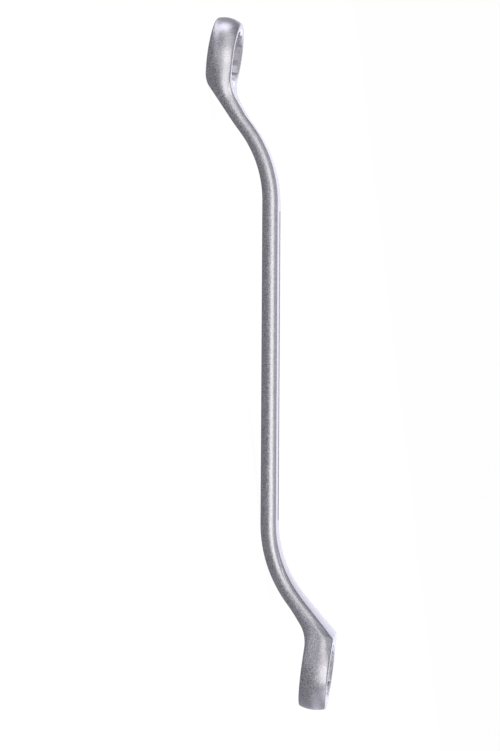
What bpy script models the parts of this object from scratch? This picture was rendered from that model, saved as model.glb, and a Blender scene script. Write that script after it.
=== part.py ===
"""Double ring spanner with deep offset heads, 22 x 24 mm, forged in one piece.

The forging is modelled as its five sections: the shank, the two necks that crank
away from it to opposite sides, and the two ring heads with twelve-point sockets.
Neighbouring sections share one plane and one outline, so they meet face to face.

Each end is modelled in its own frame: X runs outward from the end of the shank,
Z points to the side that the head is offset to, and Y runs across the tool.
The finished tool lies on a bench, on the heel of its small head and on the bend
of its large neck, with its long axis along X.
"""

import math
from dataclasses import dataclass

import bmesh
import bpy
from mathutils import Vector

MM = 0.001
OBJECT_NAME = "double_ring_spanner"

# Shank: a flat bar with crowned sides and a shallow panel sunk in each broad face
SHANK_LENGTH = 155.0 * MM
SHANK_WIDTH = 16.5 * MM
SHANK_THICKNESS = 7.5 * MM
SIDE_CROWN = 1.85 * MM
PANEL_LENGTH = 148.0 * MM
PANEL_WIDTH = 10.6 * MM
PANEL_DEPTH = 0.4 * MM
PANEL_CORNER = 2.5 * MM
PANEL_SHIFT = 1.5 * MM

# Sockets, their countersunk mouths, and the blend of a neck into its ring
SOCKET_POINTS = 12
MOUTH_LAND = 0.6 * MM
MOUTH_ANGLE = math.radians(30)
CROTCH_RADIUS = 16.0 * MM
ROOT_WIDTH = 21.0 * MM
SIDE_SPREAD = (ROOT_WIDTH - SHANK_WIDTH) / 2
FLARE_ANGLE = math.radians(20)
HEEL_LAG = 0.85

# Satin chrome: brightness and roughness of the shank, the necks and the heads
SHANK_FINISH = (0.56, 0.42)
NECK_FINISH = (0.56, 0.40)
HEAD_FINISH = (0.58, 0.38)
COOL_TINT = 1.02
SHARP_ANGLE = math.radians(30)

# How finely curved faces are divided
SIDE_LEVELS = 8
BEND_STEPS = 9
ROOT_STEPS = 6
ROUND_STEPS = 7
FLAT_STEPS = 3
RING_STEPS = 30
MOUTH_STEPS = 80
CORNER_STEPS = 5

# How far cutters run past the faces that they cut, and how close points count as one
OVERRUN = 2.0 * MM
WELD = 0.001 * MM


@dataclass(frozen=True)
class End:
    """The sizes of one end of the tool, from the shank's end to the tip of the ring."""

    name: str
    across_flats: float
    wall: float
    ring_height: float
    barrel_radius: float
    bend_radius: float
    crank_angle: float
    neck_length: float
    neck_thickness: float
    root_length: float
    head_reach: float
    head_tilt: float
    heel_land: float
    heel_round: float
    side: int

    @property
    def corner_radius(self):
        """Radius of the circle through the socket's twelve points."""
        return self.across_flats / math.sqrt(3)

    @property
    def mouth_radius(self):
        """Radius of the countersunk mouth of the socket."""
        return self.corner_radius + MOUTH_LAND

    @property
    def crown_radius(self):
        """Largest outside radius of the ring, half way up its barrel-shaped wall."""
        return self.corner_radius + self.wall

    @property
    def face_radius(self):
        """Outside radius of the ring where the wall meets a flat face."""
        return self.wall_radius(self.ring_height / 2)

    def wall_radius(self, height):
        """Outside radius of the ring at a height above its middle plane."""
        drop = self.barrel_radius - math.sqrt(self.barrel_radius**2 - height**2)
        return self.crown_radius - drop

    @property
    def bend_length(self):
        """Length of the bend's centre line."""
        return self.bend_radius * self.crank_angle

    @property
    def path_length(self):
        """Length of the centre line from the shank's end to the root of the head."""
        return self.bend_length + self.neck_length - self.root_length

    def along_neck(self, distance):
        """Point on the neck's centre line, measured from the end of the bend."""
        start = bend_point(self.bend_radius, self.crank_angle)
        return start + direction(self.crank_angle) * distance

    @property
    def centre(self):
        """Centre of the ring."""
        return self.along_neck(self.neck_length) + direction(-self.head_tilt) * self.head_reach

    def in_ring(self, reach, height):
        """Point given by its reach beyond the ring's axis and its height above the middle plane."""
        return self.centre + direction(-self.head_tilt) * reach + normal(-self.head_tilt) * height

    def reach_of(self, point):
        """How far a point lies beyond the ring's axis."""
        return (point - self.centre).dot(direction(-self.head_tilt))

    def height_of(self, point):
        """How far a point lies above the ring's middle plane."""
        return (point - self.centre).dot(normal(-self.head_tilt))


SMALL = End(
    name="small",
    across_flats=22.0 * MM,
    wall=5.4 * MM,
    ring_height=11.65 * MM,
    barrel_radius=11.6 * MM,
    bend_radius=59.2 * MM,
    crank_angle=math.radians(36.15),
    neck_length=24.5 * MM,
    neck_thickness=6.85 * MM,
    root_length=19.0 * MM,
    head_reach=16.9 * MM,
    head_tilt=math.radians(9.0),
    heel_land=1.45 * MM,
    heel_round=9.3 * MM,
    side=-1,
)
LARGE = End(
    name="large",
    across_flats=24.0 * MM,
    wall=5.3 * MM,
    ring_height=13.1 * MM,
    barrel_radius=14.5 * MM,
    bend_radius=61.5 * MM,
    crank_angle=math.radians(37.0),
    neck_length=21.85 * MM,
    neck_thickness=7.1 * MM,
    root_length=19.0 * MM,
    head_reach=16.95 * MM,
    head_tilt=math.radians(6.5),
    heel_land=1.25 * MM,
    heel_round=1.2 * MM,
    side=1,
)


def direction(angle):
    """Unit vector in the XZ plane, raised from X by the angle."""
    return Vector((math.cos(angle), 0.0, math.sin(angle)))


def normal(angle):
    """Unit vector square to direction(angle), on its upper side."""
    return Vector((-math.sin(angle), 0.0, math.cos(angle)))


def bend_point(radius, angle):
    """Point on the centre line of a bend that leaves the origin along X and turns upward."""
    return Vector((radius * math.sin(angle), 0.0, radius * (1.0 - math.cos(angle))))


def shares(steps):
    """Even shares of a run, from 0 to 1."""
    return [step / steps for step in range(steps + 1)]


def half_width(share, thickness):
    """Half width of the bar at a share of the way up its crowned side."""
    half = thickness / 2
    radius = (half**2 + SIDE_CROWN**2) / (2.0 * SIDE_CROWN)
    up = (2.0 * share - 1.0) * half
    return SHANK_WIDTH / 2 - radius + math.sqrt(radius**2 - up**2)


def outline(right):
    """Closed outline across the forging from the points up its right side."""
    return right + [Vector((p.x, -p.y, p.z)) for p in reversed(right)]


def bar_section(bottom, top, spread=0.0):
    """Outline across the bar: flat bottom and top edges and two crowned sides, moved out by a spread."""
    thickness = (top - bottom).length
    right = []
    for share in shares(SIDE_LEVELS):
        side = Vector((0.0, half_width(share, thickness) + spread, 0.0))
        right.append(bottom.lerp(top, share) + side)
    return outline(right)


def as_mesh(name, shape):
    """Turns a bmesh into mesh data and frees it."""
    mesh = bpy.data.meshes.new(name)
    shape.to_mesh(mesh)
    shape.free()
    return mesh


def loft(name, sections, pointed=False):
    """Closed mesh through a row of like outlines. A pointed loft ends where its two sides meet."""
    shape = bmesh.new()
    rows = [[shape.verts.new(p) for p in points] for points in sections]
    count = len(rows[0])
    for row, following in zip(rows, rows[1:]):
        for i in range(count):
            j = (i + 1) % count
            shape.faces.new((row[i], row[j], following[j], following[i]))
    shape.faces.new(rows[0])
    if not pointed:
        shape.faces.new(rows[-1])
    bmesh.ops.remove_doubles(shape, verts=shape.verts, dist=WELD)
    bmesh.ops.recalc_face_normals(shape, faces=shape.faces)
    return as_mesh(name, shape)


def add(name, mesh, collection, parent):
    """Puts mesh data into the scene as an object under a parent."""
    made = bpy.data.objects.new(name, mesh)
    collection.objects.link(made)
    made.parent = parent
    return made


def add_cutter(name, mesh, parent):
    """Adds a cutter, which shapes a part and isn't one itself."""
    cutter = add(name, mesh, CUTTERS, parent)
    cutter.hide_render = True
    cutter.display_type = "WIRE"
    return cutter


def outline_cutter(name, points, half_depth, parent):
    """Cutter made from a flat outline, extruded to both sides of its plane."""
    curve = bpy.data.curves.new(name, "CURVE")
    curve.dimensions = "2D"
    curve.fill_mode = "BOTH"
    curve.extrude = half_depth
    spline = curve.splines.new("POLY")
    spline.points.add(len(points) - 1)
    for slot, (x, y) in zip(spline.points, points):
        slot.co = (x, y, 0.0, 1.0)
    spline.use_cyclic_u = True
    drawn = bpy.data.objects.new(name, curve)
    CUTTERS.objects.link(drawn)
    graph = bpy.context.evaluated_depsgraph_get()
    mesh = bpy.data.meshes.new_from_object(drawn.evaluated_get(graph))
    bpy.data.objects.remove(drawn)
    shape = bmesh.new()
    shape.from_mesh(mesh)
    bpy.data.meshes.remove(mesh)
    bmesh.ops.remove_doubles(shape, verts=shape.verts, dist=WELD)
    bmesh.ops.recalc_face_normals(shape, faces=shape.faces)
    return add_cutter(name, as_mesh(name, shape), parent)


def cut(part, cutter):
    """Cuts a part with a cutter."""
    modifier = part.modifiers.new(cutter.name, "BOOLEAN")
    modifier.operation = "DIFFERENCE"
    modifier.object = cutter
    modifier.solver = "EXACT"


def satin_chrome(part, finish):
    """Gives a part its own bead-blasted chrome material."""
    value, roughness = finish
    material = bpy.data.materials.new(f"{part.name}_satin_chrome")
    material.use_nodes = True
    shader = material.node_tree.nodes["Principled BSDF"]
    shader.inputs["Base Color"].default_value = (value, value, value * COOL_TINT, 1.0)
    shader.inputs["Metallic"].default_value = 1.0
    shader.inputs["Roughness"].default_value = roughness
    part.data.materials.append(material)


def smooth(part):
    """Shades the round faces smooth and keeps the machined edges sharp."""
    part.data.shade_smooth()
    part.data.set_sharp_from_angle(angle=SHARP_ANGLE)


def rounded_rectangle(length, width, corner, shift):
    """Points of a rectangle with round corners, its centre shifted along X."""
    points = []
    for quarter in range(4):
        middle = math.radians(45 + 90 * quarter)
        x = math.copysign(length / 2 - corner, math.cos(middle)) + shift
        y = math.copysign(width / 2 - corner, math.sin(middle))
        for share in shares(CORNER_STEPS):
            angle = math.radians(90) * (quarter + share)
            points.append((x + corner * math.cos(angle), y + corner * math.sin(angle)))
    return points


def make_shank(parent):
    """The straight bar between the necks, with a sunk panel on each broad face."""
    sections = []
    for x in (-SHANK_LENGTH / 2, SHANK_LENGTH / 2):
        low = Vector((x, 0.0, -SHANK_THICKNESS / 2))
        high = Vector((x, 0.0, SHANK_THICKNESS / 2))
        sections.append(bar_section(low, high))
    shank = add("shank", loft("shank", sections), PARTS, parent)
    panel = rounded_rectangle(PANEL_LENGTH, PANEL_WIDTH, PANEL_CORNER, PANEL_SHIFT)
    for face, name in ((1, "upper_panel"), (-1, "lower_panel")):
        cutter = outline_cutter(name, panel, OVERRUN, parent)
        cutter.location.z = face * (SHANK_THICKNESS / 2 - PANEL_DEPTH + OVERRUN)
        cut(shank, cutter)
    smooth(shank)
    satin_chrome(shank, SHANK_FINISH)


def root_edges(end):
    """Bottom and top edge of the outline that a neck shares with the root of its head."""
    middle = end.along_neck(end.neck_length - end.root_length)
    half = normal(end.crank_angle) * end.neck_thickness / 2
    return middle - half, middle + half


def make_neck(end, parent):
    """The cranked run between the shank and the root of a head, widening towards the head."""
    sections = []
    for share in shares(BEND_STEPS):
        angle = share * end.crank_angle
        thickness = SHANK_THICKNESS + share * (end.neck_thickness - SHANK_THICKNESS)
        middle = bend_point(end.bend_radius, angle)
        half = normal(angle) * thickness / 2
        gone = share * end.bend_length / end.path_length
        sections.append(bar_section(middle - half, middle + half, SIDE_SPREAD * gone**2))
    sections.append(bar_section(*root_edges(end), SIDE_SPREAD))
    name = f"{end.name}_neck"
    neck = add(name, loft(name, sections), PARTS, parent)
    smooth(neck)
    satin_chrome(neck, NECK_FINISH)


def rounding(before, corner, after, radius):
    """Centre of the arc that rounds a corner between two straight runs, and points along it."""
    incoming = (corner - before).normalized()
    outgoing = (after - corner).normalized()
    half_turn = incoming.angle(outgoing) / 2
    inward = (outgoing - incoming).normalized()
    centre = corner + inward * (radius / math.cos(half_turn))
    tangent = radius * math.tan(half_turn)
    first = corner - incoming * tangent - centre
    last = corner + outgoing * tangent - centre
    return centre, [centre + first.slerp(last, share) * radius for share in shares(ROUND_STEPS)]


def heel_rounding(end):
    """Rounding of the heel, where the neck's upper broad face meets the ring's upper face."""
    _, start = root_edges(end)
    height = end.ring_height / 2
    heel = end.in_ring(-(end.mouth_radius + end.heel_land), height)
    return rounding(start, heel, end.in_ring(0.0, height), end.heel_round)


def crotch_rounding(end):
    """Fillet of the crotch, where the neck's lower broad face meets the ring's lower face."""
    start, _ = root_edges(end)
    height = -end.ring_height / 2
    crotch = end.in_ring(-end.face_radius, height)
    return rounding(start, crotch, end.in_ring(0.0, height), CROTCH_RADIUS)


def root_lines(end):
    """Points under and on top of the root, from the neck to where the head is the plain ring."""
    low, high = root_edges(end)
    _, crotch = crotch_rounding(end)
    _, heel = heel_rounding(end)
    flared = -end.face_radius * math.sin(FLARE_ANGLE)
    plain = max(end.reach_of(crotch[-1]), end.reach_of(heel[-1]), flared) + MOUTH_LAND
    lines = []
    for start, arc, face in ((low, crotch, -1), (high, heel, 1)):
        straight = [start.lerp(arc[0], share) for share in shares(ROOT_STEPS)]
        last = end.in_ring(plain, face * end.ring_height / 2)
        flat = [arc[-1].lerp(last, share) for share in shares(FLAT_STEPS)]
        lines.append(straight + arc[1:] + flat[1:])
    return lines


def flared_width(end, share, point):
    """Half width of a head at a point of its side.

    Seen along the ring's axis, the side of the neck runs on straight, then follows a cubic that
    leaves the neck at its slope and meets the circle of the ring's wall at the flare's angle, and
    then the circle itself. The cubic starts at the root below and near the heel on top.
    """
    face = end.ring_height / 2
    radius = end.wall_radius(min(face, max(-face, end.height_of(point))))
    reach = end.reach_of(point)
    low, high = root_edges(end)
    root = end.reach_of(low.lerp(high, share))
    upper = max(0.0, 2.0 * share - 1.0)
    late = HEEL_LAG * upper**2 * (3.0 - 2.0 * upper)
    begin = root - (end.mouth_radius + end.heel_land + root) * late
    finish = -radius * math.sin(FLARE_ANGLE)
    slope = 2.0 * SIDE_SPREAD / end.path_length / math.cos(end.crank_angle + end.head_tilt)
    neck = half_width(share, end.neck_thickness) + SIDE_SPREAD + slope * (min(reach, begin) - root)
    if reach <= begin:
        return neck
    if reach >= finish:
        return math.sqrt(radius**2 - reach**2)
    span = finish - begin
    gone = (reach - begin) / span
    rise = radius * math.cos(FLARE_ANGLE) - neck
    leave = slope * span - rise
    meet = rise - math.tan(FLARE_ANGLE) * span
    return neck + gone * (rise + (1.0 - gone) * (leave * (1.0 - gone) + meet * gone))


def root_sections(end):
    """Outlines of the root, from the neck into the ring."""
    sections = []
    for bottom, top in zip(*root_lines(end)):
        right = []
        for share in shares(SIDE_LEVELS):
            point = bottom.lerp(top, share)
            side = Vector((0.0, flared_width(end, share, point), 0.0))
            right.append(point + side)
        sections.append(outline(right))
    return sections


def ring_sections(end, start):
    """Outlines through the ring, from a starting reach to the tip, where both sides meet."""
    first = math.acos(-start / end.crown_radius)
    sections = []
    for share in shares(RING_STEPS)[1:]:
        angle = first + share * (math.pi - first)
        right = []
        for level in shares(SIDE_LEVELS):
            height = (level - 0.5) * end.ring_height
            radius = end.wall_radius(height)
            side = Vector((0.0, radius * math.sin(angle), 0.0))
            right.append(end.in_ring(-radius * math.cos(angle), height) + side)
        sections.append(outline(right))
    return sections


def socket_outline(end):
    """Twelve-point outline: the corners of two hexagons, a twelfth of a turn apart."""
    step = math.pi / SOCKET_POINTS
    notch_radius = end.across_flats / 2 / math.cos(step)
    points = []
    for i in range(2 * SOCKET_POINTS):
        radius = notch_radius if i % 2 else end.corner_radius
        points.append((radius * math.cos(step * i), radius * math.sin(step * i)))
    return points


def mouth_cutter(end, face, name, parent):
    """Cone that countersinks the socket at the upper (1) or lower (-1) face of the ring."""
    slope = math.tan(MOUTH_ANGLE)
    deepest = end.across_flats / 2 - OVERRUN / 2
    depth = (end.mouth_radius - deepest) * slope
    shape = bmesh.new()
    bmesh.ops.create_cone(
        shape,
        cap_ends=True,
        segments=MOUTH_STEPS,
        radius1=deepest,
        radius2=end.mouth_radius + OVERRUN / slope,
        depth=depth + OVERRUN,
    )
    cutter = add_cutter(name, as_mesh(name, shape), parent)
    cutter.location.z = face * (end.ring_height / 2 + OVERRUN - (depth + OVERRUN) / 2)
    cutter.rotation_euler.x = 0.0 if face > 0 else math.pi
    cutter.rotation_euler.z = math.pi / MOUTH_STEPS
    return cutter


def make_head(end, parent):
    """The ring with its root, broached and countersunk."""
    name = f"{end.name}_ring_head"
    sections = root_sections(end)
    plain = end.reach_of(root_lines(end)[0][-1])
    sections += ring_sections(end, plain)
    head = add(name, loft(name, sections, pointed=True), PARTS, parent)
    axis = add_empty(f"{end.name}_ring_axis", parent)
    axis.location = end.centre
    axis.rotation_euler.y = end.head_tilt
    cut(head, outline_cutter(f"{name}_socket", socket_outline(end), end.ring_height, axis))
    for face, place in ((1, "upper"), (-1, "lower")):
        cut(head, mouth_cutter(end, face, f"{name}_{place}_mouth", axis))
    smooth(head)
    satin_chrome(head, HEAD_FINISH)


def add_empty(name, parent):
    """Adds an empty that carries the parts of one frame."""
    empty = bpy.data.objects.new(name, None)
    PARTS.objects.link(empty)
    empty.parent = parent
    return empty


def make_end(end, parent):
    """The neck and the head of one end, in the end's own frame."""
    frame = add_empty(f"{end.name}_end", parent)
    frame.location.x = end.side * SHANK_LENGTH / 2
    frame.rotation_euler.y = 0.0 if end.side > 0 else math.pi
    make_neck(end, frame)
    make_head(end, frame)


def rest_tilt():
    """Turn about Y that sets the small head's round heel and the large neck's bend at one height.

    With the turn t, the heel's arc, centred at (-x, -z) with radius a, reaches down to
    x sin t - z cos t - a. The bend's outside, centred at (c, r) with radius b, reaches down to
    r cos t - c sin t - b. Both are measured from the large end of the shank.
    """
    heel, _ = heel_rounding(SMALL)
    run = heel.x + SHANK_LENGTH
    rise = heel.z + LARGE.bend_radius
    outside = LARGE.bend_radius + SHANK_THICKNESS / 2
    return math.atan2(rise, run) - math.asin((outside - SMALL.heel_round) / math.hypot(run, rise))


def world_corners():
    """Lowest and highest corner of the box round every part."""
    graph = bpy.context.evaluated_depsgraph_get()
    points = []
    for part in PARTS.objects:
        if part.type == "MESH":
            shaped = part.evaluated_get(graph)
            points += [shaped.matrix_world @ v.co for v in shaped.data.vertices]
    low = Vector(min(p[i] for p in points) for i in range(3))
    high = Vector(max(p[i] for p in points) for i in range(3))
    return low, high


def lay_on_bench(tool):
    """Turns the tool as it rests, with the middle of its footprint at the origin."""
    tool.rotation_euler.y = rest_tilt()
    bpy.context.view_layer.update()
    low, high = world_corners()
    tool.location = (-(low.x + high.x) / 2, -(low.y + high.y) / 2, -low.z)
    bpy.context.view_layer.update()


for old in list(bpy.data.objects):
    bpy.data.objects.remove(old)

PARTS = bpy.data.collections.new(OBJECT_NAME)
CUTTERS = bpy.data.collections.new(f"{OBJECT_NAME}_cutters")
bpy.context.scene.collection.children.link(PARTS)
bpy.context.scene.collection.children.link(CUTTERS)

spanner = add_empty("spanner", None)
make_shank(spanner)
make_end(SMALL, spanner)
make_end(LARGE, spanner)
lay_on_bench(spanner)
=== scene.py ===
"""Looks of a double ring spanner: its finished surfaces, satin chrome, studio and camera.

Every surface is worked out in the frame of its own end of the tool and then laid on the
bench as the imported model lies. An end's frame has X outward from the end of the shank,
Z towards the side that the head is offset to, and Y across the tool.
"""

import logging
import math
from dataclasses import dataclass
from enum import Enum
from typing import Any

import bmesh
import bpy
import numpy as np
from mathutils import Matrix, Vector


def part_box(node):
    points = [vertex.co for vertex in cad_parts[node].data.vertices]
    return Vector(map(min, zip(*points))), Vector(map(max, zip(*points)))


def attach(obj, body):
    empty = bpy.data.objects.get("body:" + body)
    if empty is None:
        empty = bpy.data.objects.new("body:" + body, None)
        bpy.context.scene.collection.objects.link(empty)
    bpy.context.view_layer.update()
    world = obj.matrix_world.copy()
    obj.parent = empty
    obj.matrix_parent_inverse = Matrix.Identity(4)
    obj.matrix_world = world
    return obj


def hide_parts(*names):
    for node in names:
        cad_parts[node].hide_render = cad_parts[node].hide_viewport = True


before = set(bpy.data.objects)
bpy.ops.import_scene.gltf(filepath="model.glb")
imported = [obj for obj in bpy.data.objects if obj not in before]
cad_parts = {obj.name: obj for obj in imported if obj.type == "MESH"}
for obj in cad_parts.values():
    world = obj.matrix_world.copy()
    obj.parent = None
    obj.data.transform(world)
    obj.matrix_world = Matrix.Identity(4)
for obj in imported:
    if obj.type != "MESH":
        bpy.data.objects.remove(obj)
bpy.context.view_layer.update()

MM = 0.001
BODY = "root"
# Face attribute: bright of cut metal, and on the flutes' flanks a painted highlight on one flank and
# painted shade on the other.
SHINE_AND_PAINTED_LIGHT_ATTRIBUTE = "shine_and_painted_light"
NOISE_MIDDLE = 0.5
CARD_HEIGHT = 3.0 * MM
KEY_COLOUR = (0.983, 1.0, 0.89)
PHOTO_HEIGHT_PX = 751
log = logging.getLogger("double_ring_spanner")


class Direction(Enum):
    """Which way along the tool an end points."""

    SMALL_END = -1
    LARGE_END = 1


def smoothstep(share: np.ndarray) -> np.ndarray:
    """Eased share: 3 s squared minus 2 s cubed, held between 0 and 1."""
    held = np.clip(share, 0.0, 1.0)
    return held * held * (3.0 - 2.0 * held)


def along(angle: float) -> np.ndarray:
    """Unit vector in the XZ plane, raised from X by the angle."""
    return np.array((math.cos(angle), 0.0, math.sin(angle)))


def square_to(angle: float) -> np.ndarray:
    """Unit vector square to along(angle), on its upper side."""
    return np.array((-math.sin(angle), 0.0, math.cos(angle)))


def run(start: np.ndarray, finish: np.ndarray, steps: int) -> np.ndarray:
    """Evenly spaced points on a straight run, one row each."""
    share = np.linspace(0.0, 1.0, steps + 1)[:, None]
    return start + (finish - start) * share


def unit(vector: np.ndarray) -> np.ndarray:
    """The vector at length 1."""
    return vector / np.linalg.norm(vector)


def rounded_corner(
    before: np.ndarray, corner: np.ndarray, after: np.ndarray, radius: float, steps: int
) -> np.ndarray:
    """Points of the arc that rounds a corner between two straight runs.

    The arc's centre lies on the corner's bisector, and a point turns about it from the end of the
    first run to the start of the second: sin((1 - s) a) first + sin(s a) last, over sin(a).

    Args:
        before: A point on the first run.
        corner: Where the two runs would meet.
        after: A point on the second run.
        radius: Radius of the arc.
        steps: Number of steps along the arc.

    Returns:
        Points of the arc, one row each.
    """
    incoming = unit(corner - before)
    outgoing = unit(after - corner)
    turn = math.acos(float(incoming @ outgoing))
    centre = corner + unit(outgoing - incoming) * radius / math.cos(turn / 2)
    tangent = radius * math.tan(turn / 2)
    first = corner - incoming * tangent - centre
    last = corner + outgoing * tangent - centre
    share = np.linspace(0.0, 1.0, steps + 1)[:, None]
    spread = np.sin((1.0 - share) * turn) * first + np.sin(share * turn) * last
    return centre + spread / math.sin(turn)


def add_object(name: str, data: bpy.types.ID) -> bpy.types.Object:
    """Adds an object with the given mesh, lamp or camera to the scene, and hands it back."""
    bpy.context.scene.collection.objects.link(made := bpy.data.objects.new(name, data))
    return made


@dataclass(frozen=True)
class CrownedEdge:
    """Side of a bar or a ring seen end on: a shallow arc with a small rounding at each edge.

    The shift is how far the arc's crown lies above the middle of the height.
    """

    height: float
    radius: float
    bottom_rounding: float
    top_rounding: float
    shift: float = 0.0
    arc_steps: int = 40
    round_steps: int = 14

    def depth(self, share: np.ndarray) -> np.ndarray:
        """Fall of the arc at shares of the height: r - root(r squared - h squared), h from its crown."""
        up = (share - 0.5) * self.height - self.shift
        return self.radius - np.sqrt(self.radius**2 - up**2)

    def corner(self, rounding: float, face: float) -> tuple[float, np.ndarray, np.ndarray]:
        """Samples the rounding between the arc and a flat face, at even steps of its normal's angle.

        Args:
            rounding: Its radius.
            face: How far the flat face is from the arc's centre.

        Returns:
            The angle at which the arc ends, and the points' heights and reaches from the arc's centre.
        """
        core = face - rounding
        out = math.sqrt((self.radius - rounding) ** 2 - core**2)
        meet = math.atan2(core, out)
        turn = np.linspace(meet, math.pi / 2, self.round_steps + 1)[1:]
        return meet, core + rounding * np.sin(turn), out + rounding * np.cos(turn)

    def sample(self) -> tuple[np.ndarray, np.ndarray]:
        """Samples the side from its bottom edge to its top edge.

        Both the arc and the roundings are taken at even steps of their normal's angle a: a point of a
        circle is its centre plus its radius times (cos a, sin a), and each rounding touches the arc
        from inside and is level with the flat face at its end.

        Returns:
            Shares of the height, and how far the roundings stand back from the plain arc there.
        """
        half = self.height / 2
        bottom, bottom_up, bottom_reach = self.corner(self.bottom_rounding, half + self.shift)
        top, top_up, top_reach = self.corner(self.top_rounding, half - self.shift)
        arc = np.linspace(-bottom, top, self.arc_steps + 1)
        up = np.concatenate((-bottom_up[::-1], self.radius * np.sin(arc), top_up))
        reach = np.concatenate((bottom_reach[::-1], self.radius * np.cos(arc), top_reach))
        inset = np.sqrt(self.radius**2 - up**2) - reach
        return (up + self.shift) / self.height + 0.5, np.maximum(inset, 0.0)


@dataclass(frozen=True)
class Bar:
    """The flat bar that the tool is forged from."""

    length: float = 155.0 * MM
    width: float = 16.5 * MM
    root_width: float = 21.0 * MM
    thickness: float = 7.5 * MM
    crown: float = 1.85 * MM
    rounding: float = 0.5 * MM

    def edge(self, thickness: float, rounding: float) -> CrownedEdge:
        """The crowned side at a thickness of the bar, with its edges rounded."""
        radius = ((thickness / 2) ** 2 + self.crown**2) / (2.0 * self.crown)
        return CrownedEdge(thickness, radius, rounding, rounding)

    @property
    def spread(self) -> float:
        """How much further out each side is at the root of a head than along the shank."""
        return (self.root_width - self.width) / 2

    def half_width(self, thickness: float, share: np.ndarray) -> np.ndarray:
        """Half width without the edge roundings, at shares of the way up the side."""
        return self.width / 2 - self.edge(thickness, self.rounding).depth(share)

    def side(self, thickness: float, rounding: float) -> tuple[np.ndarray, np.ndarray]:
        """Samples one side of the bar with its edges rounded: shares of the way up, and half widths."""
        share, inset = self.edge(thickness, rounding).sample()
        return share, self.half_width(thickness, share) - inset


@dataclass(frozen=True)
class Panel:
    """The shallow panel sunk in each broad face of the shank."""

    length: float = 150.6 * MM
    width: float = 10.6 * MM
    depth: float = 0.22 * MM
    corner: float = 1.0 * MM
    shift: float = 1.7 * MM
    wall: float = 0.35 * MM

    def sunk(self, x: np.ndarray, y: np.ndarray) -> np.ndarray:
        """How deep the panel is at points of a broad face.

        The depth eases from 0 on the outline of a rounded rectangle to its full value a wall's width
        inside it, along the distance to that outline.

        Args:
            x: Places along the shank.
            y: Places across it.

        Returns:
            Depths of the same shape.
        """
        over_x = np.abs(x - self.shift) - (self.length / 2 - self.corner)
        over_y = np.abs(y) - (self.width / 2 - self.corner)
        outside = np.hypot(np.maximum(over_x, 0.0), np.maximum(over_y, 0.0))
        inside = np.minimum(np.maximum(over_x, over_y), 0.0)
        distance = outside + inside - self.corner
        return self.depth * smoothstep(-distance / self.wall)


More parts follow.
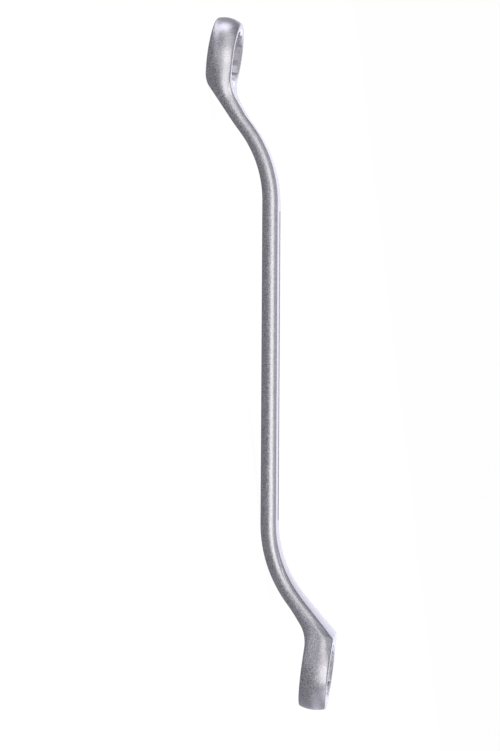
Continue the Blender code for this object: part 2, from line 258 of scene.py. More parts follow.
@dataclass(frozen=True)
class EndSizes:
    """The sizes of one end of the tool, from the shank's end to the tip of the ring.

    The heel is the corner on the side that the head is offset to, and the crotch is the hollow
    opposite. On top, the flare waits for a share heel_lag of the way to the heel, and the wait sets
    in at a share lag_from of the way up the side. The crown of the barrel is shifted towards the
    heel. The shines, from 0 for satin to 1 for bright, are those of a flute's leading and trailing
    flank and of the countersunk mouths. The mouths are bright cut metal. The flanks' pair is cut
    metal with painted light: one flank of each flute is painted lighter as a painted highlight and
    the other darker as painted shade, by the way it faces.
    """

    name: str
    direction: Direction
    across_flats: float
    wall: float
    ring_height: float
    barrel_radius: float
    bend_radius: float
    crank_angle: float
    neck_length: float
    neck_thickness: float
    head_reach: float
    head_tilt: float
    heel_land: float
    heel_round: float
    heel_lag: float
    lag_from: float
    crotch_rim: float
    heel_rim: float
    # Leading and trailing flank: cut-metal bright with painted highlight and painted shade, by the way each
    # faces.
    flank_shine_and_painted_light: tuple[float, float]
    mouth_shine: float
    crown_shift: float = 0.0
    root_length: float = 19.0 * MM
    face_bow: float = 0.4 * MM
    neck_rounding: float = 1.5 * MM
    crotch_radius: float = 16.0 * MM
    flare_angle: float = math.radians(20.0)
    mouth_land: float = 0.6 * MM
    mouth_angle: float = math.radians(30.0)

    @property
    def corner_radius(self) -> float:
        """Radius of the circle through the socket's twelve points."""
        return self.across_flats / math.sqrt(3.0)

    @property
    def mouth_radius(self) -> float:
        """Radius of the countersunk mouth of the socket."""
        return self.corner_radius + self.mouth_land

    @property
    def crown_radius(self) -> float:
        """Largest outside radius of the ring, at the crown of its wall."""
        return self.corner_radius + self.wall

    @property
    def heel_reach(self) -> float:
        """Reach of the heel's corner beyond the ring's axis, negative as it lies towards the neck."""
        return -(self.mouth_radius + self.heel_land)

    @property
    def outward(self) -> np.ndarray:
        """Unit vector along the ring's faces, from the neck to the tip."""
        return along(-self.head_tilt)

    @property
    def axis(self) -> np.ndarray:
        """Unit vector of the ring's axis, towards the heel's side."""
        return square_to(-self.head_tilt)

    @property
    def rim(self) -> CrownedEdge:
        """The barrel-shaped wall of the ring, seen end on."""
        rims = (self.crotch_rim, self.heel_rim)
        return CrownedEdge(self.ring_height, self.barrel_radius, *rims, self.crown_shift)

    def wall_radius(self, share: np.ndarray) -> np.ndarray:
        """Outside radius of the ring without its rim roundings, at shares of its height."""
        return self.crown_radius - self.rim.depth(share)

    def bend(self, angle: np.ndarray) -> np.ndarray:
        """Points of the bend's centre line: (r sin a, 0, r - r cos a)."""
        rise = self.bend_radius * (1.0 - np.cos(angle))
        return np.stack((self.bend_radius * np.sin(angle), np.zeros_like(angle), rise), axis=-1)

    def on_neck(self, distance: float) -> np.ndarray:
        """Point on the neck's centre line, measured from the end of the bend."""
        return self.bend(np.array(self.crank_angle)) + along(self.crank_angle) * distance

    @property
    def centre(self) -> np.ndarray:
        """Centre of the ring."""
        return self.on_neck(self.neck_length) + self.outward * self.head_reach

    def in_ring(self, reach: np.ndarray, height: np.ndarray) -> np.ndarray:
        """Points given by their reach beyond the ring's axis and their height above its middle plane."""
        outward = np.multiply.outer(reach, self.outward)
        return self.centre + outward + np.multiply.outer(height, self.axis)

    @property
    def bend_length(self) -> float:
        """Length of the bend's centre line."""
        return self.bend_radius * self.crank_angle

    @property
    def path_length(self) -> float:
        """Length of the centre line from the shank's end to the root of the head."""
        return self.bend_length + self.neck_length - self.root_length

    def root_edges(self) -> tuple[np.ndarray, np.ndarray]:
        """Edges of the outline that the neck shares with the root of the head.

        Returns:
            The middle of its lower edge and of its upper edge.
        """
        middle = self.on_neck(self.neck_length - self.root_length)
        half = square_to(self.crank_angle) * self.neck_thickness / 2
        return middle - half, middle + half


@dataclass(frozen=True)
class Bench:
    """How the tool lies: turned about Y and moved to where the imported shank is."""

    bar: Bar
    tilt: float
    middle: np.ndarray

    @classmethod
    def from_frame(cls, bar: Bar) -> "Bench":
        """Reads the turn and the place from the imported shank's box.

        A bar of length l and thickness d, turned by t, is l sin t + d cos t high.

        Args:
            bar: Sizes of the bar.

        Returns:
            The placing of the tool.
        """
        low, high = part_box("shank")
        diagonal = math.hypot(bar.length, bar.thickness)
        tilt = math.asin((high.z - low.z) / diagonal) - math.atan2(bar.thickness, bar.length)
        return cls(bar, tilt, np.array((low + high) / 2))

    def turn(self, vectors: np.ndarray) -> np.ndarray:
        """Turns vectors of the tool's frame about Y by the tilt, into the world's directions."""
        cos, sin = math.cos(self.tilt), math.sin(self.tilt)
        return vectors @ np.array(((cos, 0.0, sin), (0.0, 1.0, 0.0), (-sin, 0.0, cos))).T

    def lay(self, points: np.ndarray) -> np.ndarray:
        """Lays points of the shank's frame on the bench."""
        return self.turn(points) + self.middle

    def lay_end(self, points: np.ndarray, direction: Direction) -> np.ndarray:
        """Lays points of an end's frame on the bench, at the end of the shank that it belongs to."""
        shift, sign = np.array((self.bar.length / 2, 0.0, 0.0)), direction.value
        return self.lay((points + shift) * np.array((sign, 1.0, sign)))


class Skin:
    """A closed surface made of like outlines, one row of points for each."""

    @staticmethod
    def ring_of(
        right: np.ndarray,
        flat_shares: np.ndarray,
        lower: np.ndarray | float = 0.0,
        upper: np.ndarray | float = 0.0,
    ) -> np.ndarray:
        """Closes outlines from the points up their right side.

        The left side mirrors the right one in Y, and the flat faces between are straight runs with
        their points moved by the given rises.

        Args:
            right: Rows of points up the right side, shaped (rows, points, 3).
            flat_shares: Shares of the way across a flat face at which it has points.
            lower: Rises of the bottom face's points, shaped (rows, shares, 3).
            upper: Rises of the top face's points.

        Returns:
            Closed outlines, shaped (rows, points, 3).
        """
        left = right[:, ::-1] * np.array((1.0, -1.0, 1.0))
        share = flat_shares[None, :, None]
        top = right[:, -1:] + (left[:, :1] - right[:, -1:]) * share + upper
        bottom = left[:, -1:] + (right[:, :1] - left[:, -1:]) * share + lower
        return np.concatenate((right, top, left, bottom), axis=1)

    @staticmethod
    def bow(share: np.ndarray) -> np.ndarray:
        """Height of a bowed face at shares of its width, as a share of its bow: 1 - (2 s - 1) squared."""
        return 1.0 - (2.0 * share - 1.0) ** 2

    @staticmethod
    def mesh(
        name: str, rows: np.ndarray, pointed: bool = False, weld: float = 1e-4 * MM
    ) -> bpy.types.Mesh:
        """Joins outlines into a closed mesh that faces outward, and welds points that coincide.

        Args:
            name: Name of the mesh.
            rows: Closed outlines, shaped (rows, points, 3).
            pointed: Whether the last outline is a line where both sides meet.
            weld: How close points count as one.

        Returns:
            The mesh.
        """
        count, size = rows.shape[:2]
        index = np.arange(count * size).reshape(count, size)
        after = np.roll(index, -1, axis=1)
        quads = np.stack((index[:-1], after[:-1], after[1:], index[1:]), axis=-1)
        faces = quads.reshape(-1, 4).tolist()
        faces.append(index[0].tolist())
        if not pointed:
            faces.append(index[-1].tolist())
        mesh = bpy.data.meshes.new(name)
        mesh.from_pydata(rows.reshape(-1, 3).tolist(), [], faces)
        shape = bmesh.new()
        shape.from_mesh(mesh)
        bmesh.ops.remove_doubles(shape, verts=shape.verts, dist=weld)
        bmesh.ops.recalc_face_normals(shape, faces=shape.faces)
        shape.to_mesh(mesh)
        shape.free()
        return mesh

    @staticmethod
    def piece(name: str, mesh: bpy.types.Mesh, sharp: float = math.radians(24.0)) -> bpy.types.Object:
        """Puts a mesh into the scene, smooth but for its crisp edges.

        Args:
            name: Name of the piece.
            mesh: Its mesh, already in place.
            sharp: Edges that turn by more than this angle stay crisp.

        Returns:
            The object.
        """
        mesh.shade_smooth()
        mesh.set_sharp_from_angle(angle=sharp)
        return add_object(name, mesh)


@dataclass(frozen=True)
class Shank:
    """The straight bar with its sunk panels."""

    bar: Bar
    panel: Panel
    end_spread: float = 3.4 * MM
    end_steps: int = 30
    middle_steps: int = 24
    edge_spread: float = 3.0 * MM
    edge_steps: int = 22

    def stations(self) -> np.ndarray:
        """Spaces the outlines along the shank, close together at the ends of the panel.

        Returns:
            Places along the shank.
        """
        low, high = self.panel.shift + np.array((-1.0, 1.0)) * self.panel.length / 2
        first = np.linspace(low, low + self.end_spread, self.end_steps)
        last = np.linspace(high - self.end_spread, high, self.end_steps)
        middle = np.linspace(first[-1], last[0], self.middle_steps + 2)[1:-1]
        end = self.bar.length / 2
        return np.concatenate(((-end,), first, middle, last, (end,)))

    def flat_shares(self, half_width: float) -> np.ndarray:
        """Spaces points across a broad face, close together at the sides of the panel.

        Args:
            half_width: Half the face's width.

        Returns:
            Shares of the way across.
        """
        edge = self.panel.width / 2
        side = np.linspace(edge, edge - self.edge_spread, self.edge_steps)
        support = (half_width + edge) / 2
        places = np.concatenate(((support,), side, -side[::-1], (-support,)))
        return 0.5 - places / (2.0 * half_width)

    def build(self, bench: Bench) -> bpy.types.Object:
        """Carries the bar's outline along the shank and sinks the panels into it.

        Args:
            bench: How the tool lies.

        Returns:
            The piece.
        """
        share, width = self.bar.side(self.bar.thickness, self.bar.rounding)
        height = (share - 0.5) * self.bar.thickness
        right = np.stack(np.broadcast_arrays(self.stations()[:, None], width, height), axis=-1)
        rows = Skin.ring_of(right, self.flat_shares(float(width[-1])))
        broad = np.isclose(np.abs(rows[..., 2]), self.bar.thickness / 2)
        sunk = self.panel.sunk(rows[..., 0], rows[..., 1]) * broad
        rows[..., 2] -= np.sign(rows[..., 2]) * sunk
        return Skin.piece("satin_shank", Skin.mesh("satin_shank", bench.lay(rows)))


@dataclass(frozen=True)
class Neck:
    """The bend and the straight run between the shank and the root of a head."""

    bar: Bar
    end: EndSizes
    bend_steps: int = 60
    run_steps: int = 6
    across_steps: int = 24

    def build(self, bench: Bench) -> bpy.types.Object:
        """Carries the bar's outline round the bend, its thickness easing to the neck's.

        Each side moves out by its spread times the square of the share of the way to the root, and the
        broad faces bow out as they go.

        Args:
            bench: How the tool lies.

        Returns:
            The piece.
        """
        end = self.end
        angle = np.linspace(0.0, end.crank_angle, self.bend_steps + 1)
        thickness = self.bar.thickness + (end.neck_thickness - self.bar.thickness) * angle / end.crank_angle
        middle = end.bend(angle)
        up = np.stack((-np.sin(angle), np.zeros_like(angle), np.cos(angle)), axis=-1)
        low, high = end.root_edges()
        straight = run(middle[-1], (low + high) / 2, self.run_steps)[1:]
        middle = np.concatenate((middle, straight))
        up = np.concatenate((up, np.repeat(up[-1:], self.run_steps, axis=0)))
        thickness = np.concatenate((thickness, np.full(self.run_steps, end.neck_thickness)))
        beyond = np.linspace(end.bend_length, end.path_length, self.run_steps + 1)[1:]
        gone = np.concatenate((end.bend_radius * angle, beyond)) / end.path_length
        share, width = self.bar.side(end.neck_thickness, end.neck_rounding)
        start_share, start_width = self.bar.side(self.bar.thickness, self.bar.rounding)
        mix = smoothstep(gone)[:, None]
        level = start_share + (share - start_share) * mix - 0.5
        right = middle[:, None] + up[:, None] * (level * thickness[:, None])[..., None]
        right[..., 1] = start_width + (width - start_width) * mix + self.bar.spread * gone[:, None] ** 2
        across = np.linspace(0.0, 1.0, self.across_steps + 1)[1:-1]
        rise = end.face_bow * mix[..., None] * Skin.bow(across)[:, None] * up[:, None]
        rows = Skin.ring_of(right, across, -rise, rise)
        name = f"satin_{end.name}_neck"
        return Skin.piece(name, Skin.mesh(name, bench.lay_end(rows, end.direction)))


@dataclass(frozen=True)
class RingHead:
    """A ring with its root, broached for twelve points and countersunk."""

    bar: Bar
    end: EndSizes
    straight_steps: int = 60
    round_steps: int = 20
    flat_steps: int = 10
    ring_steps: int = 84
    flute_steps: int = 6
    clear: float = 0.6 * MM
    overrun: float = 2.0 * MM
    across_steps: int = 24
    socket_points: int = 12
    least_rise: float = 1e-3 * MM
    blend_power: float = 4.0
    ground_tilt: float = math.radians(2.0)
    ground_depth: float = 0.02 * MM
    ground_shine: float = 0.02
    countersunk_tilt: float = math.radians(60.0)

    def root_lines(self) -> tuple[np.ndarray, np.ndarray]:
        """Points under and on top of the root, from the neck to where the head is the plain ring.

        Each line is a straight run, an arc and a flat run: the arc is the crotch's fillet below, and
        the heel's rounding above.

        Returns:
            The lower and the upper line, with as many points each.
        """
        end = self.end
        half = end.ring_height / 2
        low, high = end.root_edges()
        face_radius = float(end.wall_radius(np.array(0.0)))
        corners = (
            (low, -face_radius, -half, end.crotch_radius),
            (high, end.heel_reach, half, end.heel_round),
        )
        arcs = []
        for start, reach, height, radius in corners:
            corner, after = end.in_ring(reach, height), end.in_ring(0.0, height)
            arcs.append(rounded_corner(start, corner, after, radius, self.round_steps))
        ends = [float((arc[-1] - end.centre) @ end.outward) for arc in arcs]
        plain = max(*ends, -face_radius * math.sin(end.flare_angle)) + self.clear
        lines = []
        for (start, _, height, _), arc in zip(corners, arcs):
            straight = run(start, arc[0], self.straight_steps)
            flat = run(arc[-1], end.in_ring(plain, height), self.flat_steps)
            lines.append(np.concatenate((straight, arc[1:], flat[1:])))
        return lines[0], lines[1]

    def flared(
        self, share: np.ndarray, reach: np.ndarray, height: np.ndarray
    ) -> tuple[np.ndarray, np.ndarray]:
        """Half width of the head and how steep its side is.

        Seen along the ring's axis, the side of the neck runs on straight, then follows a cubic that
        leaves the neck at its slope and meets the circle of the ring's wall at the flare's angle, and
        then the circle itself. The cubic starts at the root below, and later towards the heel on top.

        Args:
            share: Shares of the way up the side.
            reach: Reach beyond the ring's axis, negative towards the neck.
            height: Height above the ring's middle plane.

        Returns:
            Half widths, and how much longer the side is than its run along the tool.
        """
        end, bar = self.end, self.bar
        low, high = end.root_edges()
        root = (low - end.centre) @ end.outward + ((high - low) @ end.outward) * share
        late = smoothstep((share - end.lag_from) / (1.0 - end.lag_from))
        begin = root + (end.heel_reach - root) * late * end.heel_lag
        slope = 2.0 * bar.spread / end.path_length / math.cos(end.crank_angle + end.head_tilt)
        steep = math.tan(end.flare_angle)
        radius = end.wall_radius(np.clip(height / end.ring_height + 0.5, 0.0, 1.0))
        finish = -radius * math.sin(end.flare_angle)
        neck = bar.half_width(end.neck_thickness, share) + bar.spread
        first = neck + slope * (begin - root)
        last = radius * math.cos(end.flare_angle)
        span = finish - begin
        u = np.clip((reach - begin) / span, 0.0, 1.0)
        rise = last - first
        bow = slope * span - rise
        pull = rise - steep * span
        cubic = first + rise * u + u * (1.0 - u) * (bow * (1.0 - u) + pull * u)
        tangent = rise + (1.0 - 2.0 * u) * (bow * (1.0 - u) + pull * u) + u * (1.0 - u) * (pull - bow)
        wall = np.sqrt(np.maximum(radius**2 - np.minimum(reach**2, finish**2), 0.0))
        stretches = (reach < begin, reach < finish)
        width = np.select(stretches, (neck + slope * (reach - root), cubic), wall)
        gradient = np.select(stretches, (slope, tangent / span), -reach / wall)
        return width, np.hypot(1.0, gradient)

    def root_rows(self) -> np.ndarray:
        """Right side of the root: levels between its lower and upper line, out to the flared width.

        The levels and the edge roundings ease from the neck's to the ring's on the way.

        Returns:
            Rows of points up the right side.
        """
        end = self.end
        low, high = self.root_lines()
        neck_share, neck_inset = self.bar.edge(end.neck_thickness, end.neck_rounding).sample()
        ring_share, ring_inset = end.rim.sample()
        mix = smoothstep(np.linspace(0.0, 1.0, len(low)) ** 2)[:, None]
        share = neck_share + (ring_share - neck_share) * mix
        inset = neck_inset + (ring_inset - neck_inset) * mix
        right = low[:, None] + (high - low)[:, None] * share[..., None]
        offset = right - end.centre
        width, longer = self.flared(share, offset @ end.outward, offset @ end.axis)
        right[..., 1] = width - inset * longer
        return right

    def face_rises(self, across: np.ndarray) -> tuple[np.ndarray, np.ndarray]:
        """How far the broad faces of the root stand out from straight runs between their edges.

        Each face bows out as the neck's does. Below, the bow fades along the crotch. On top, it ends
        where it comes up to the plane of the ring's face: its height b and the room r left under that
        plane give (b^-p + r^-p)^(-1/p), which is the smaller of the two with a soft change between.

        Args:
            across: Shares of the way across a face.

        Returns:
            Rises of the lower and the upper face, shaped (rows, shares, 3).
        """
        end = self.end
        low, high = self.root_lines()
        up = square_to(end.crank_angle)
        bow = end.face_bow * Skin.bow(across)
        fade = (np.arange(len(low)) - self.straight_steps) / self.round_steps
        lower = -bow * (1.0 - smoothstep(fade))[:, None]
        room = (end.ring_height / 2 - (high - end.centre) @ end.axis) / float(up @ end.axis)
        room = np.maximum(room, self.least_rise)[:, None]
        power = -self.blend_power
        upper = (np.maximum(bow, self.least_rise) ** power + room**power) ** (1.0 / power)
        upper = np.where(room > self.least_rise, upper, 0.0)
        return lower[..., None] * up, upper[..., None] * up

    def ring_rows(self, start: float) -> np.ndarray:
        """Right side of the ring: its wall's profile turned about the axis, to the tip.

        A point of the profile at radius r and height h goes to (-r cos a, r sin a, h).

        Args:
            start: Reach at which the root ends.

        Returns:
            Rows of points up the right side, the last of them on the tool's middle plane.
        """
        end = self.end
        share, inset = end.rim.sample()
        radius = end.wall_radius(share) - inset
        first = math.acos(-start / end.crown_radius)
        angle = np.linspace(first, math.pi, self.ring_steps + 1)[1:, None]
        right = end.in_ring(-radius * np.cos(angle), (share - 0.5) * end.ring_height)
        right[..., 1] = radius * np.sin(angle)
        right[-1, :, 1] = 0.0
        return right

    def socket_rows(self) -> np.ndarray:
        """Outlines of what the broach and the countersinks take out, from below to above.

        The outline's radius is the larger of two hexagons', a twelfth of a turn apart: the apothem
        over the cosine of the angle from the flat, which is a twelfth of a turn less the angle from
        the nearest corner. The countersink's cone meets each flute at its own height, which is where
        the cone's radius equals the flute's.

        Returns:
            Closed outlines in the ring's own axes, shaped (4, points, 3).
        """
        end = self.end
        points = 2 * self.socket_points * self.flute_steps
        angle = np.arange(points) * (2.0 * math.pi / points)
        sector = 2.0 * math.pi / self.socket_points
        off_corner = np.abs((angle + sector / 2) % sector - sector / 2)
        radius = end.across_flats / 2 / np.cos(sector - off_corner)
        slope = math.tan(end.mouth_angle)
        half = end.ring_height / 2
        meet = half - (end.mouth_radius - radius) * slope
        beyond = np.full(points, half + self.overrun)
        wide = np.full(points, end.mouth_radius + self.overrun / slope)
        heights = np.stack((-beyond, -meet, meet, beyond))
        radii = np.stack((wide, radius, radius, wide))
        return np.stack((radii * np.cos(angle), radii * np.sin(angle), heights), axis=-1)

    def broach(self, head: bpy.types.Object, bench: Bench) -> None:
        """Cuts the socket out of a head.

        Args:
            head: The head, still solid.
            bench: How the tool lies.
        """
        end = self.end
        local = self.socket_rows()
        rows = end.in_ring(local[..., 0], local[..., 2])
        rows[..., 1] = local[..., 1]
        mesh = Skin.mesh("socket_cut", bench.lay_end(rows, end.direction))
        cutter = Skin.piece("socket_cut", mesh)
        cut = head.modifiers.new("socket", "BOOLEAN")
        cut.operation = "DIFFERENCE"
        cut.object = cutter
        cut.solver = "EXACT"
        graph = bpy.context.evaluated_depsgraph_get()
        solid, head.data = head.data, bpy.data.meshes.new_from_object(head.evaluated_get(graph))
        head.modifiers.clear()
        head.data.name = solid.name
        bpy.data.meshes.remove(solid)
        bpy.data.objects.remove(cutter)
        bpy.data.meshes.remove(mesh)

    def mark_shine_and_painted_light(self, head: bpy.types.Object, bench: Bench) -> None:
        """Marks in a face attribute how bright the ground faces and the cut walls of the ring are.

        A face is ground where its normal lies along the ring's axis and its height is a face's. Of
        the others within the mouth's radius of the axis, those whose normal leans well towards the
        axis's direction are countersunk. The rest are flanks of the flutes, and the sense in which
        a normal turns round the axis tells the leading flanks from the trailing ones. The flanks are
        marked with the bright of cut metal plus painted light: a painted highlight on one flank of each
        flute and painted shade on the other, by the way it faces.

        Args:
            head: The finished head.
            bench: How the tool lies.
        """
        end, mesh = self.end, head.data
        count = len(mesh.polygons)
        places, normals = np.empty(count * 3), np.empty(count * 3)
        mesh.polygons.foreach_get("center", places)
        mesh.polygons.foreach_get("normal", normals)
        axis = bench.turn(end.axis * end.direction.value)
        offset = places.reshape(-1, 3) - bench.lay_end(end.centre, end.direction)
        height = offset @ axis
        radial = offset - np.outer(height, axis)
        distance = np.linalg.norm(radial, axis=1)
        normals = normals.reshape(-1, 3)
        lean = np.abs(normals @ axis)
        level = np.abs(height) > end.ring_height / 2 - self.ground_depth
        ground = level & (lean > math.cos(self.ground_tilt))
        cut = (distance < end.mouth_radius) & ~ground
        countersunk = cut & (lean > math.cos(self.countersunk_tilt))
        leading = np.cross(radial, normals) @ axis > 0.0
        # Painted highlight and painted shade: leading and trailing flanks get different brightness by the
        # way they face.
        flank = np.where(leading, *end.flank_shine_and_painted_light) * (cut & ~countersunk)
        shine_and_painted_light = self.ground_shine * ground + end.mouth_shine * countersunk + flank
        attribute = mesh.attributes.new(SHINE_AND_PAINTED_LIGHT_ATTRIBUTE, "FLOAT", "FACE")
        attribute.data.foreach_set("value", shine_and_painted_light.astype(np.float32))

    def build(self, bench: Bench) -> bpy.types.Object:
        """Builds the head, broaches it and marks how bright its faces are.

        Args:
            bench: How the tool lies.

        Returns:
            The piece.
        """
        low, _ = self.root_lines()
        start = float((low[-1] - self.end.centre) @ self.end.outward)
        across = np.linspace(0.0, 1.0, self.across_steps + 1)[1:-1]
        root = Skin.ring_of(self.root_rows(), across, *self.face_rises(across))
        ring = Skin.ring_of(self.ring_rows(start), across)
        rows = bench.lay_end(np.concatenate((root, ring)), self.end.direction)
        name = f"satin_{self.end.name}_ring_head"
        head = Skin.piece(name, Skin.mesh(name, rows, pointed=True))
        self.broach(head, bench)
        self.mark_shine_and_painted_light(head, bench)
        return head


class Value:
    """A node's output that takes part in Python expressions. Each operator adds a Math node."""

    def __init__(self, tree: "Shader", node: bpy.types.Node, output: int | str) -> None:
        """Keeps the shader, the node and which of its outputs is meant."""
        self.tree, self.node, self.output = tree, node, output

    @property
    def socket(self) -> bpy.types.NodeSocket:
        """The output's socket."""
        return self.node.outputs[self.output]

    def other(self, output: int | str) -> "Value":
        """Another output of the same node."""
        return Value(self.tree, self.node, output)

    def math(self, operation: str, *operands: Any) -> "Value":
        """Adds a Math node with the given operation."""
        return self.tree.node("ShaderNodeMath", {"operation": operation}, dict(enumerate(operands)))

    def __add__(self, other: Any) -> "Value":
        """Sum."""
        return self.math("ADD", self, other)

    __radd__ = __add__

    def __mul__(self, other: Any) -> "Value":
        """Product."""
        return self.math("MULTIPLY", self, other)

    __rmul__ = __mul__

    def __sub__(self, other: Any) -> "Value":
        """Difference."""
        return self.math("SUBTRACT", self, other)

    def __rsub__(self, other: Any) -> "Value":
        """Difference from a number."""
        return self.math("SUBTRACT", other, self)


class Shader:
    """The node tree of one material."""

    # A Mix node has like-named sockets for every kind of data, so those for colours go by number.
    MIX_SHARE, MIX_FIRST, MIX_SECOND = 0, 6, 7
    MIX_RESULT = 2

    def __init__(self, name: str) -> None:
        """Makes an empty material."""
        self.material = bpy.data.materials.new(name)
        self.material.use_nodes = True
        self.nodes = self.material.node_tree.nodes
        self.links = self.material.node_tree.links
        self.nodes.clear()

    def node(
        self, kind: str, settings: dict[str, Any], inputs: dict[Any, Any], output: int | str = 0
    ) -> Value:
        """Adds a node.

        Args:
            kind: Blender's name of the node's type.
            settings: Settings of the node, set before its sockets.
            inputs: Value or link of each socket, by its name or number.
            output: Which output to hand back.

        Returns:
            The chosen output.
        """
        made = self.nodes.new(kind)
        for name, value in settings.items():
            setattr(made, name, value)
        for name, value in inputs.items():
            if isinstance(value, Value):
                self.links.new(value.socket, made.inputs[name])
            else:
                made.inputs[name].default_value = value
        return Value(self, made, output)

    def mix_colour(self, share: Any, first: Any, second: Any) -> Value:
        """Mixes two colours by a share."""
        inputs = {self.MIX_SHARE: share, self.MIX_FIRST: first, self.MIX_SECOND: second}
        return self.node("ShaderNodeMix", {"data_type": "RGBA"}, inputs, self.MIX_RESULT)

    def surface(self, shader: Value) -> bpy.types.Material:
        """Ends the tree in a surface and hands the material back."""
        self.node("ShaderNodeOutputMaterial", {}, {"Surface": shader})
        return self.material


@dataclass(frozen=True)
class SatinChrome:
    """Bead-blasted chrome plate, rubbed smoother on top and at the tips, and bright where it is cut, with
    painted highlight and painted shade on the flutes' flanks.
    """

    colour: tuple[float, float, float] = (0.174, 0.169, 0.193)
    # Colour of cut metal, which also carries the painted highlights on the flutes' flanks.
    bright: tuple[float, float, float] = (0.80, 0.79, 0.84)
    edge_tint: tuple[float, float, float] = (0.9, 0.9, 0.985)
    roughness: float = 0.37
    bright_roughness: float = 0.30
    grain_size: float = 0.42 * MM
    mottle_size: float = 1.2 * MM
    grain_depth: float = 0.09 * MM
    grain_strength: float = 0.7
    grain_share: float = 0.7
    grain_detail: float = 2.0
    mottle_detail: float = 3.0
    noise_roughness: float = 0.6
    tone_spread: float = 0.42
    mottle_contrast: float = 0.5
    mottle_roughness: float = 0.14
    raw_contrast: float = 5.5
    rubbed_contrast: float = 1.5
    raw_relief: float = 1.1
    rubbed_relief: float = 0.4
    rubbing_starts: float = -0.15
    rubbing_ends: float = 0.3
    tip_rubbing: float = 0.8

    def material(self) -> bpy.types.Material:
        """Builds the material.

        Returns:
            The finished material.
        """
        tree = Shader("satin_chrome")
        place = tree.node("ShaderNodeTexCoord", {}, {}, "Object")
        grain = self.noise(tree, place, self.grain_size, self.grain_detail)
        mottle = self.noise(tree, place, self.mottle_size, self.mottle_detail)
        # The attribute's bright of cut metal, with the flanks' painted highlight and painted shade, is
        # mixed into the colour below.
        shine_and_painted_light = tree.node("ShaderNodeAttribute", {"attribute_name": SHINE_AND_PAINTED_LIGHT_ATTRIBUTE}, {}, "Fac")
        blasted = 1.0 - shine_and_painted_light
        rubbed = self.rubbing(tree)
        contrast = self.raw_contrast + rubbed * (self.rubbed_contrast - self.raw_contrast)
        relief = self.raw_relief + rubbed * (self.rubbed_relief - self.raw_relief)
        off_middle = mottle - NOISE_MIDDLE
        tone = 0.5 + (grain - NOISE_MIDDLE) * contrast + off_middle * self.mottle_contrast
        dark = tuple((1.0 - self.tone_spread) * part for part in self.colour)
        light = tuple((1.0 + self.tone_spread) * part for part in self.colour)
        satin = tree.mix_colour(tone, (*dark, 1.0), (*light, 1.0))
        colour = tree.mix_colour(shine_and_painted_light, satin, (*self.bright, 1.0))
        drop = self.roughness - self.bright_roughness
        roughness = self.roughness + off_middle * self.mottle_roughness - shine_and_painted_light * drop
        height = (grain * self.grain_share + mottle * (1.0 - self.grain_share)) * blasted * relief
        bump_inputs = {"Strength": self.grain_strength, "Distance": self.grain_depth, "Height": height}
        bump = tree.node("ShaderNodeBump", {}, bump_inputs)
        inputs = {"Base Color": colour, "Metallic": 1.0, "Roughness": roughness, "Normal": bump}
        inputs["Specular Tint"] = (*self.edge_tint, 1.0)
        return tree.surface(tree.node("ShaderNodeBsdfPrincipled", {}, inputs))

    def rubbing(self, tree: Shader) -> Value:
        """How far the grain is rubbed smooth, by the way that the surface faces.

        Args:
            tree: The material's shader.

        Returns:
            A share from 0 to 1, from the normal's rise plus a part of its square along the tool.
        """
        normal = tree.node("ShaderNodeTexCoord", {}, {}, "Normal")
        tip = tree.node("ShaderNodeSeparateXYZ", {}, {0: normal}, "X")
        rise = tip.other("Z") + tip * tip * self.tip_rubbing
        inputs = {"Value": rise, "From Min": self.rubbing_starts, "From Max": self.rubbing_ends}
        return tree.node("ShaderNodeMapRange", {"interpolation_type": "SMOOTHSTEP"}, inputs)

    def noise(self, tree: Shader, place: Value, size: float, detail: float) -> Value:
        """Noise whose features are of the given size."""
        inputs = {"Vector": place, "Scale": 1.0 / size, "Detail": detail, "Roughness": self.noise_roughness}
        return tree.node("ShaderNodeTexNoise", {}, inputs)


@dataclass(frozen=True)
class PaleFloor:
    """Plain white floor that shows as white and keeps a faint shadow."""

    colour: tuple[float, float, float] = (0.82, 0.82, 0.82)
    shadow_share: float = 0.03

    def material(self) -> bpy.types.Material:
        """Builds the material: white to the eye and in reflections, pale paint to all other light.

        Returns:
            The finished material.
        """
        tree = Shader("pale_floor")
        seen = path = tree.node("ShaderNodeLightPath", {}, {}, "Is Camera Ray")
        for name in ("Is Glossy Ray", "Is Transmission Ray"):
            seen = seen.math("MAXIMUM", seen, path.other(name))
        white = tree.node("ShaderNodeEmission", {}, {"Color": (1.0, 1.0, 1.0, 1.0), "Strength": 1.0})
        paint = tree.node("ShaderNodeBsdfDiffuse", {}, {"Color": (*self.colour, 1.0)})
        share = seen * (1.0 - self.shadow_share)
        return tree.surface(tree.node("ShaderNodeMixShader", {}, {0: share, 1: paint, 2: white}))


@dataclass(frozen=True)
class SoftLight:
    """A soft rectangular lamp that faces the middle of the tool, or a bright card on the floor.

    A lamp with a turn is a card: it lies face up, turned about the upright by that angle.
    """

    name: str
    place: tuple[float, float, float]
    size: tuple[float, float]
    radiance: float
    colour: tuple[float, float, float] = (1.0, 1.0, 1.0)
    turn: float | None = None

    def add(self) -> None:
        """Adds the lamp, hidden from the camera. Its power is radiance times pi times area."""
        lamp = bpy.data.lights.new(self.name, "AREA")
        lamp.shape = "RECTANGLE"
        lamp.size, lamp.size_y = self.size
        lamp.energy = self.radiance * math.pi * self.size[0] * self.size[1]
        lamp.color = self.colour
        made = add_object(self.name, lamp)
        made.location = self.place
        made.visible_camera = False
        if self.turn is None:
            made.rotation_euler = (-made.location).to_track_quat("-Z", "Y").to_euler()
        else:
            made.rotation_euler = (math.pi, 0.0, self.turn)


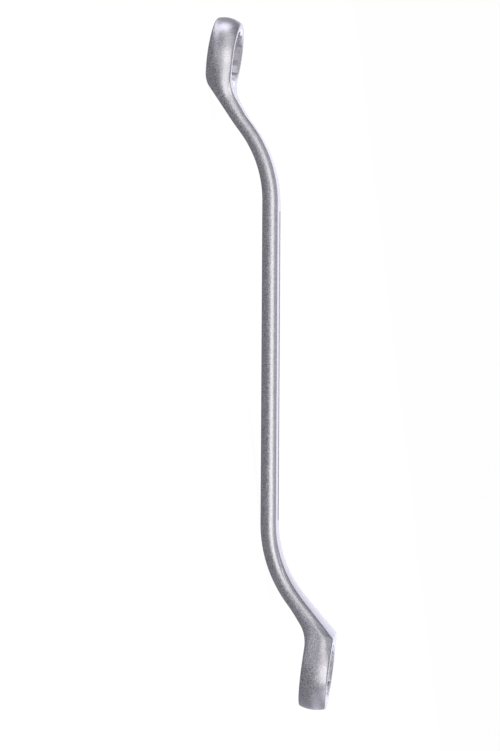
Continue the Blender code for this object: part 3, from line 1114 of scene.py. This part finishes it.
@dataclass(frozen=True)
class Studio:
    """White sweep, soft lamps and a dim surrounding."""

    half_width: float = 6.0
    front: float = -6.0
    back: float = 2.6
    sweep_radius: float = 1.0
    wall_height: float = 4.0
    sweep_steps: int = 24
    world_colour: tuple[float, float, float] = (0.80, 0.79, 0.83)
    lamps: tuple[SoftLight, ...] = (
        SoftLight("key", (0.2, -0.83, 0.53), (1.11, 0.66), 5.6, KEY_COLOUR),
        SoftLight("low_key", (0.43, -0.83, 0.19), (0.4, 0.22), 1.8, KEY_COLOUR),
        SoftLight("head_wash", (-0.75, -0.68, 0.62), (0.8, 0.6), 3.0, KEY_COLOUR),
        SoftLight("overhead", (0.0, -0.1, 1.0), (1.5, 0.6), 1.3),
        SoftLight("behind", (0.0, 1.2, 0.42), (1.8, 0.7), 1.9),
        SoftLight("head_end", (-0.62, -0.03, 0.13), (0.28, 0.24), 6.4),
        SoftLight("foot_end", (0.66, -0.08, 0.33), (0.7, 0.55), 2.6),
        SoftLight("front_card", (-0.32, -0.44, CARD_HEIGHT), (1.1, 0.8), 1.45, turn=math.radians(-10.0)),
        SoftLight("head_card", (-0.275, -0.036, CARD_HEIGHT), (0.2, 0.045), 4.6, turn=math.radians(13.0)),
        SoftLight("foot_card", (0.41, 0.0, CARD_HEIGHT), (0.4, 0.2), 1.35, turn=0.0),
        SoftLight("root_card", (0.085, -0.075, CARD_HEIGHT), (0.07, 0.09), 1.35, turn=0.0),
        SoftLight("ring_card", (-0.17, -0.055, CARD_HEIGHT), (0.07, 0.05), 1.6, turn=0.0),
    )

    def sweep(self) -> bpy.types.Object:
        """Floor that curves up into a wall behind the tool: a flat run, a quarter circle and a wall.

        Returns:
            The sweep.
        """
        turn = np.linspace(0.0, math.pi / 2, self.sweep_steps + 1)
        radius = self.sweep_radius
        y = np.concatenate(((self.front,), self.back + radius * np.sin(turn), (self.back + radius,)))
        z = np.concatenate(((0.0,), radius * (1.0 - np.cos(turn)), (self.wall_height,)))
        across = np.array(((-self.half_width,), (self.half_width,)))
        points = np.stack(np.broadcast_arrays(across, y, z), axis=-1)
        index = np.arange(2 * len(y)).reshape(2, -1)
        quads = np.stack((index[0, :-1], index[1, :-1], index[1, 1:], index[0, 1:]), axis=-1)
        mesh = bpy.data.meshes.new("sweep")
        mesh.from_pydata(points.reshape(-1, 3).tolist(), [], quads.tolist())
        made = Skin.piece("sweep", mesh)
        mesh.materials.append(PaleFloor().material())
        return made

    def build(self) -> None:
        """Builds the sweep, the lamps and the world."""
        self.sweep()
        for lamp in self.lamps:
            lamp.add()
        world = bpy.data.worlds.new("studio")
        bpy.context.scene.world = world
        world.use_nodes = True
        world.node_tree.nodes["Background"].inputs["Color"].default_value = (*self.world_colour, 1.0)
        bpy.context.scene.view_settings.view_transform = "Standard"


@dataclass(frozen=True)
class PhotoCamera:
    """Camera of the photograph: the tool's small end is on top, and the bench is on the left."""

    focal_px: float = 2000.0
    distance: float = 971.0 * MM
    aim_along: float = 6.25 * MM
    aim_up: float = -10.03 * MM
    towards_right: float = math.radians(7.25)
    towards_top: float = math.radians(1.21)
    lean: float = math.radians(0.312)
    sensor: float = 36.0
    clip: tuple[float, float] = (0.05, 60.0)

    def build(self, bench: Bench) -> None:
        """Places the camera in the tool's frame and lays it on the bench with the tool.

        Args:
            bench: How the tool lies.
        """
        cos, sin = math.cos(self.lean), math.sin(self.lean)
        top = np.array((-cos, 0.0, -sin))
        right = np.array((-sin, 0.0, cos))
        near = np.array((0.0, -1.0, 0.0))
        level = math.cos(self.towards_top)
        back = math.sin(self.towards_top) * top
        back = back + level * (math.sin(self.towards_right) * right + math.cos(self.towards_right) * near)
        aim = np.array((self.aim_along, 0.0, self.aim_up))
        place = bench.lay(aim + back * self.distance)
        axis_z = unit(bench.turn(back))
        axis_y = bench.turn(top)
        axis_y = unit(axis_y - axis_z * (axis_y @ axis_z))
        axis_x = np.cross(axis_y, axis_z)
        lens = bpy.data.cameras.new("photo_camera")
        lens.sensor_width = self.sensor
        lens.lens = self.sensor * self.focal_px / PHOTO_HEIGHT_PX
        lens.clip_start, lens.clip_end = self.clip
        made = add_object("photo_camera", lens)
        columns = np.eye(4)
        columns[:3, :] = np.stack((axis_x, axis_y, axis_z, place), axis=-1)
        made.matrix_world = Matrix(columns.tolist())
        bpy.context.scene.camera = made


SMALL = EndSizes(
    name="small",
    direction=Direction.SMALL_END,
    across_flats=22.0 * MM,
    wall=5.4 * MM,
    ring_height=12.15 * MM,
    barrel_radius=13.4 * MM,
    crown_shift=1.27 * MM,
    bend_radius=59.2 * MM,
    crank_angle=math.radians(36.15),
    neck_length=24.15 * MM,
    root_length=18.65 * MM,
    neck_thickness=6.85 * MM,
    head_reach=17.15 * MM,
    head_tilt=math.radians(9.0),
    heel_land=1.0 * MM,
    heel_round=9.3 * MM,
    heel_lag=0.95,
    lag_from=0.0,
    crotch_rim=1.1 * MM,
    heel_rim=1.2 * MM,
    # Flanks: cut-metal bright, the leading flank painted lighter as a painted highlight, the trailing
    # darker as painted shade.
    flank_shine_and_painted_light=(1.0, 0.38),
    mouth_shine=0.28,
    face_bow=0.1 * MM,
)
LARGE = EndSizes(
    name="large",
    direction=Direction.LARGE_END,
    across_flats=24.0 * MM,
    wall=5.3 * MM,
    ring_height=13.1 * MM,
    barrel_radius=18.5 * MM,
    bend_radius=59.5 * MM,
    crank_angle=math.radians(37.0),
    neck_length=22.63 * MM,
    neck_thickness=7.6 * MM,
    neck_rounding=3.3 * MM,
    head_reach=17.535 * MM,
    head_tilt=math.radians(6.5),
    heel_land=3.3 * MM,
    heel_round=1.2 * MM,
    heel_lag=0.85,
    lag_from=0.5,
    crotch_rim=1.2 * MM,
    heel_rim=1.2 * MM,
    # Flanks: cut-metal bright, the trailing flank painted lighter as a painted highlight, the leading
    # darker as painted shade.
    flank_shine_and_painted_light=(0.4, 0.62),
    mouth_shine=0.2,
)


def main() -> None:
    """Builds the pieces in order, dresses them, and sets up the studio and the camera."""
    logging.basicConfig(level=logging.INFO, format="%(name)s: %(message)s")
    bar = Bar()
    bench = Bench.from_frame(bar)
    chrome = SatinChrome().material()
    makers: dict[str, Shank | Neck | RingHead] = {"shank": Shank(bar, Panel())}
    for end in (SMALL, LARGE):
        makers[f"{end.name}_neck"] = Neck(bar, end)
        makers[f"{end.name}_ring_head"] = RingHead(bar, end)
    for node, maker in makers.items():
        piece = maker.build(bench)
        piece.data.materials.clear()
        piece.data.materials.append(chrome)
        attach(piece, BODY)
        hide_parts(node)
        log.info("%s: %d faces", piece.name, len(piece.data.polygons))
    Studio().build()
    PhotoCamera().build(bench)


if __name__ == "__main__":
    main()
